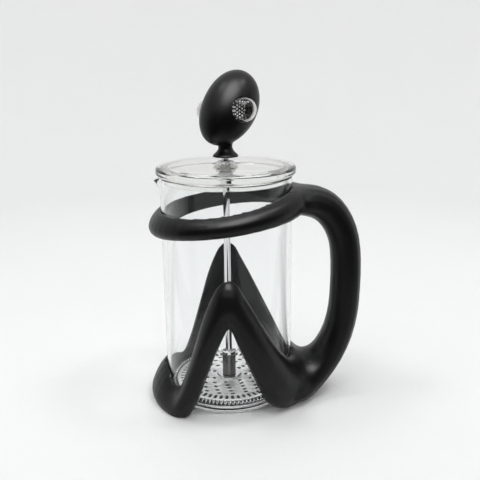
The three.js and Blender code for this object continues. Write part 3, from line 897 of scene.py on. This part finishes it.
# filter: perforated plate, coil spring round its edge, woven screen and cross plate
filterParts = {
    "plateEdge": 40.6 * mm,
    "slotRings": [(13, 7), (17.5, 10), (22, 13), (26.5, 16), (30.5, 19)],  # radius in millimetres, how many
    "slotLength": 3.7 * mm,
    "slotWidth": 2.5 * mm,
    "hooks": {"radius": 36 * mm, "count": 54, "length": 5.6 * mm, "width": 2.3 * mm},  # at the edge
    "coilTurns": 96,
    "wire": 0.42 * mm,
    "crossHoles": 6,
    "crossHoleSize": 0.2,  # shares of the cross plate's radius
    "crossHoleRing": 0.62,
    "plateEase": 0.12 * mm,
    "screenThick": 0.6 * mm,
    "dishUnder": 3.4 * mm,  # how far inside the plate's edge the dish starts to fall, under and upper side
    "dishUpper": 3.1 * mm,
    "dishFoot": 0.2 * mm,
}


def addLoop(curve, outline):
    spline = curve.splines.new("POLY")
    spline.points.add(len(outline) - 1)
    for point, (x, y) in zip(spline.points, outline):
        point.co = (x, y, 0, 1)
    spline.use_cyclic_u = True


def ringOutline(radius, steps):
    return [(radius * math.cos(a), radius * math.sin(a)) for a in np.linspace(0, 2 * math.pi, steps, False)]


def slotOutline(ringRadius, turn, length, width, outwards=False):
    # a slot with round ends, laid along its ring or pointing outwards
    half = (length - width) / 2
    outline = []
    cosT, sinT = math.cos(turn), math.sin(turn)
    for end, start in ((1, -90), (-1, 90)):
        for a in np.radians(np.linspace(start, start + 180, 5)):
            x, y = end * half + width / 2 * math.cos(a), width / 2 * math.sin(a)
            x, y = (-y, x) if outwards else (x, y)
            outline.append(((ringRadius + y) * cosT - x * sinT, (ringRadius + y) * sinT + x * cosT))
    return outline


def flatPlate(name, outlines, low, high, ease, finish):
    curve = bpy.data.curves.new(name, "CURVE")
    curve.dimensions = "2D"
    curve.fill_mode = "BOTH"
    curve.extrude = (high - low) / 2 - ease
    curve.bevel_depth = ease
    curve.bevel_resolution = 1
    curve.offset = -ease
    for outline in outlines:
        addLoop(curve, outline)
    work = bpy.data.objects.new(name, curve)
    bpy.context.scene.collection.objects.link(work)
    work.location = (axis.x, axis.y, (low + high) / 2)
    mesh = bakeCurve(work)
    return newPiece(name, mesh, finish, 30)


def bakeCurve(work):
    bpy.context.view_layer.update()
    ready = work.evaluated_get(bpy.context.evaluated_depsgraph_get())
    mesh = bpy.data.meshes.new_from_object(ready)
    mesh.transform(work.matrix_world)
    curve = work.data
    bpy.data.objects.remove(work)
    bpy.data.curves.remove(curve)
    clean = bmesh.new()
    clean.from_mesh(mesh)
    bmesh.ops.remove_doubles(clean, verts=clean.verts, dist=0.002 * mm)
    bmesh.ops.recalc_face_normals(clean, faces=clean.faces)
    clean.to_mesh(mesh)
    clean.free()
    return mesh


def makePerforatedPlate():
    low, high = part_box("spiral_plate")
    outlines = [ringOutline((high.x - low.x) / 2, 160), ringOutline(rodRadius + touchGap, 40)]
    length, width = filterParts["slotLength"], filterParts["slotWidth"]
    for n, (radius, count) in enumerate(filterParts["slotRings"]):
        for i in range(count):
            turn = 2 * math.pi * (i + 0.37 * n) / count
            outlines.append(slotOutline(radius * mm, turn, length, width))
    hooks = filterParts["hooks"]
    for i in range(hooks["count"]):
        turn = 2 * math.pi * i / hooks["count"]
        outlines.append(slotOutline(hooks["radius"], turn, hooks["length"], hooks["width"], True))
    piece = flatPlate("perforatedPlate", outlines, low.z, high.z, filterParts["plateEase"], rolledSteel)
    standFor(piece, "plunger", "polished_steel", "spiral_plate")


def makeCrossPlate():
    low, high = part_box("cross_plate")
    radius = (high.x - low.x) / 2
    ring = radius * filterParts["crossHoleRing"]
    outlines = [ringOutline(radius, 120), ringOutline(rodRadius + touchGap, 40)]
    for i in range(filterParts["crossHoles"]):
        turn = 2 * math.pi * i / filterParts["crossHoles"]
        hole = ringOutline(radius * filterParts["crossHoleSize"], 32)
        x0, y0 = ring * math.cos(turn), ring * math.sin(turn)
        outlines.append([(x + x0, y + y0) for x, y in hole])
    piece = flatPlate("crossPlate", outlines, low.z, high.z, filterParts["plateEase"], polishedSteel)
    standFor(piece, "plunger", "polished_steel", "cross_plate")


def makeEdgeSpring():
    # a close coil of wire bent into a ring round the plate
    low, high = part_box("edge_spring")
    coil = (high.z - low.z) / 2 - filterParts["wire"]
    ringRadius = (high.y - low.y) / 2 - filterParts["wire"] - coil
    middle = (low.z + high.z) / 2
    curve = bpy.data.curves.new("edgeSpring", "CURVE")
    curve.dimensions = "3D"
    curve.bevel_depth = filterParts["wire"]
    curve.bevel_resolution = 2
    spline = curve.splines.new("POLY")
    steps = filterParts["coilTurns"] * 14
    spline.points.add(steps - 1)
    for i, point in enumerate(spline.points):
        turn = 2 * math.pi * i / steps
        spin = turn * filterParts["coilTurns"]
        reach = ringRadius + coil * math.cos(spin)
        point.co = (reach * math.cos(turn), reach * math.sin(turn), coil * math.sin(spin), 1)
    spline.use_cyclic_u = True
    work = bpy.data.objects.new("edgeSpring", curve)
    bpy.context.scene.collection.objects.link(work)
    work.location = (axis.x, axis.y, middle)
    piece = newPiece("edgeSpring", bakeCurve(work), springWire, 60)
    standFor(piece, "plunger", "spring_wire", "edge_spring")


def makeWovenDish():
    low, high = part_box("filter_mesh")
    edge = (high.y - low.y) / 2
    thick = filterParts["screenThick"]
    bore = rodRadius + touchGap
    plate = filterParts["plateEdge"]
    upper = high.z
    outline = [(bore, upper - thick), (plate - filterParts["dishUnder"], upper - thick)]
    outline += [(plate - filterParts["dishFoot"], low.z), (edge, low.z), (edge, low.z + thick)]
    outline += [(plate, low.z + thick), (plate - filterParts["dishUpper"], upper), (bore, upper)]
    piece = newPiece("wovenDish", turned(outline, 160), wovenSteel, 40)
    standFor(piece, "plunger", "woven_screen", "filter_mesh")


makePerforatedPlate()
makeCrossPlate()
makeEdgeSpring()
makeWovenDish()
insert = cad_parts["knob_insert"]
insert.data.materials.clear()
insert.data.materials.append(turnedBrass)
print("plunger and filter made")


# studio: a pale sweep all round, soft lamps above, and a black flag that only reflections see
studio = {
    "paper": (0.86, 0.86, 0.855),
    "floorRadius": 1.3,
    "sweepHeight": 1.1,
    "sweepBend": 0.5,
    "sink": 0.0002,  # keeps the floor just under the feet
    "flag": {"start": 0.26, "radius": 1.1, "height": 0.75, "bend": 0.3, "halfAngle": 74},
    "sky": (0.98, 0.99, 1.0),
    "skyStrength": 0.92,
    "lamps": {
        "rightLamp": {"place": (0.5, -0.05, 1.15), "size": 0.24, "energy": 2.05},
        "leftLamp": {"place": (-0.5, 0.0, 1.15), "size": 0.24, "energy": 1.65},
        "frontLamp": {"place": (-0.1, -0.5, 1.1), "size": 0.5, "energy": 1.0},
        "sheenLamp": {"place": (0.0, -0.42, 1.0), "size": 0.75, "energy": 17, "onlySheen": True},
    },
}


def bowl(name, profile, segments, middle, halfAngle):
    # a profile of (radius, height) swept part or all of the way round
    points, faces = [], []
    angles = np.radians(np.linspace(middle - halfAngle, middle + halfAngle, segments + 1))
    for r, z in profile:
        points += [(r * math.cos(a), r * math.sin(a), z - studio["sink"]) for a in angles]
    row = len(angles)
    for i in range(len(profile) - 1):
        for j in range(segments):
            low, high = i * row + j, (i + 1) * row + j
            faces.append((low, low + 1, high + 1, high))
    mesh = bpy.data.meshes.new(name)
    mesh.from_pydata(points, [], faces)
    work = bmesh.new()
    work.from_mesh(mesh)
    bmesh.ops.remove_doubles(work, verts=work.verts, dist=0.01 * mm)
    work.to_mesh(mesh)
    work.free()
    return mesh


def makeSweep():
    radius, bend = studio["floorRadius"], studio["sweepBend"]
    profile = [(0.00005, 0), (0.15, 0), (0.4, 0), (radius - bend, 0)]
    profile += arc(radius - bend, bend, bend, -90, 0, 16)[1:]
    profile.append((radius, studio["sweepHeight"]))
    material, tree, shader = newFinish("palePaper", {"Roughness": 0.9, "Specular IOR Level": 0.2})
    fibres = placedNoise(tree, 6, 3, (1, 1, 1))
    paper = studio["paper"]
    varyColour(tree, shader, fibres, tuple(0.99 * c for c in paper), paper)
    sweep = newPiece("floor", bowl("sweep", profile, 96, 180, 180), material, 80)


def makeFlag():
    # keeps the pale room out of the front of the dark and clear pieces, seen in reflections only
    f = studio["flag"]
    profile = [(f["start"], 0.002), (f["radius"] - f["bend"], 0.002)]
    profile += arc(f["radius"] - f["bend"], f["bend"], f["bend"], -90, 0, 8)[1:]
    profile.append((f["radius"], f["height"]))
    material, tree, shader = newFinish("blackCloth", {"Specular IOR Level": 0.0})
    weave = placedNoise(tree, 8, 2, (1, 1, 1))
    varyColour(tree, shader, weave, (0.004, 0.004, 0.004), (0.008, 0.008, 0.008))
    flag = newPiece("flag", bowl("flag", profile, 48, -90, f["halfAngle"]), material, 80)
    flag.visible_camera = False
    flag.visible_diffuse = False
    flag.visible_transmission = False
    flag.visible_shadow = False


def addAreaLight(name, place, size, energy, aim):
    light = bpy.data.lights.new(name, "AREA")
    light.shape = "DISK"
    light.size = size
    light.energy = energy
    holder = bpy.data.objects.new(name, light)
    bpy.context.scene.collection.objects.link(holder)
    holder.location = place
    holder.rotation_euler = (Vector(aim) - Vector(place)).to_track_quat("-Z", "Y").to_euler()
    return holder


def lightStudio():
    world = bpy.data.worlds.new("studioSky")
    world.use_nodes = True
    background = world.node_tree.nodes["Background"]
    background.inputs["Color"].default_value = (*studio["sky"], 1)
    background.inputs["Strength"].default_value = studio["skyStrength"]
    bpy.context.scene.world = world
    aim = (axis.x, axis.y, 0.08)
    for name, lamp in studio["lamps"].items():
        holder = addAreaLight(name, lamp["place"], lamp["size"], lamp["energy"], aim)
        if lamp.get("onlySheen"):
            holder.visible_diffuse = False
            holder.visible_transmission = False


makeSweep()
makeFlag()
lightStudio()

camera = {
    "place": (axis.x, -0.45656, 0.25068),
    "down": 15.74,
    "towardsHandle": 1.214,
    "roll": -0.653,
    "lens": 47.7,
}


def placeCamera():
    down, yaw, roll = (math.radians(camera[key]) for key in ("down", "towardsHandle", "roll"))
    ahead = Vector((math.sin(yaw) * math.cos(down), math.cos(yaw) * math.cos(down), -math.sin(down)))
    level = Vector((math.cos(yaw), -math.sin(yaw), 0))
    upright = level.cross(ahead)
    right = level * math.cos(roll) + upright * math.sin(roll)
    up = upright * math.cos(roll) - level * math.sin(roll)
    data = bpy.data.cameras.new("camera")
    data.lens = camera["lens"]
    data.clip_start = 0.01
    holder = bpy.data.objects.new("camera", data)
    bpy.context.scene.collection.objects.link(holder)
    turn = Matrix((right, up, -ahead)).transposed().to_4x4()
    holder.matrix_world = Matrix.Translation(camera["place"]) @ turn
    bpy.context.scene.camera = holder


placeCamera()
view = bpy.context.scene.view_settings
view.view_transform = "Standard"
view.look = "None"
print("studio lit, camera placed")
